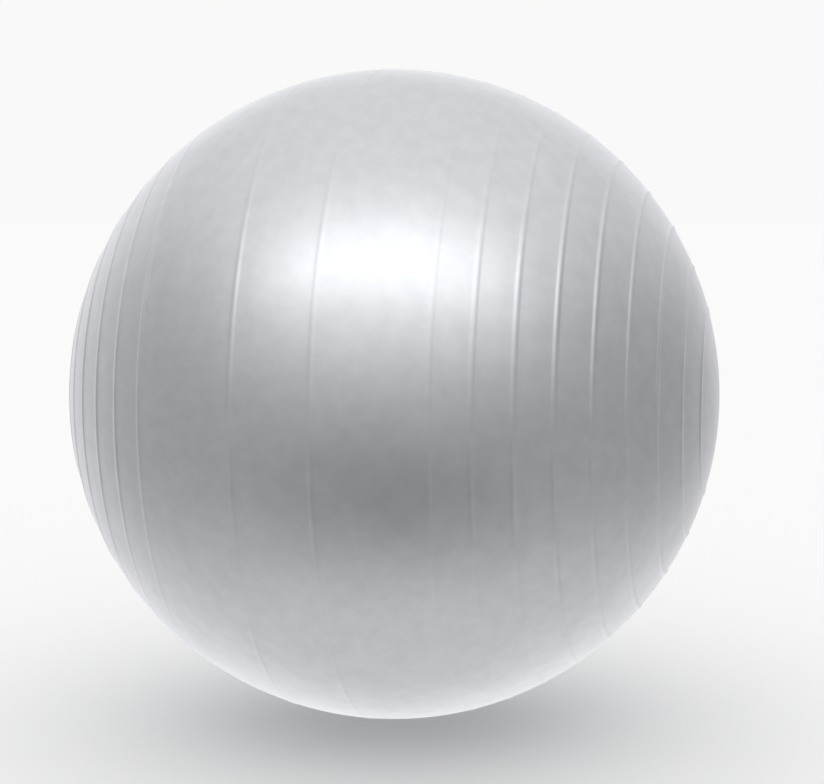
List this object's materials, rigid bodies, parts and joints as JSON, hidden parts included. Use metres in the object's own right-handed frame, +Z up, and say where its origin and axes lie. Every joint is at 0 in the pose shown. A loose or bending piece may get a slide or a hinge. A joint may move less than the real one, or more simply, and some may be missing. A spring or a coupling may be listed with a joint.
{
  "type": "exercise ball",
  "caption": "Large inflated ball with raised grip rings, and an air valve at one pole closed by a push-in plug.",
  "frame": {"origin": "middle of the flat patch that the ball stands on", "axes": "+Z up, through the ball's centre; X along the axis of the grip rings, with the valve at the -X pole"},
  "size_m": [0.6505, 0.6506, 0.6491],
  "materials": {
    "silver_vinyl": "pearly silver, satin gloss",
    "soft_vinyl": "satin",
    "white_plug": "semi-matte"
  },
  "bodies": {
    "ball": {"ball_skin": "silver_vinyl", "valve_seat": "soft_vinyl"},
    "plug": {"valve_plug": "white_plug"}
  },
  "joints": [
    {"name": "plug_pull", "type": "slide", "parent": "ball", "child": "plug", "axis": [-1, 0, 0], "range_m": [0, 0.04]}
  ]
}
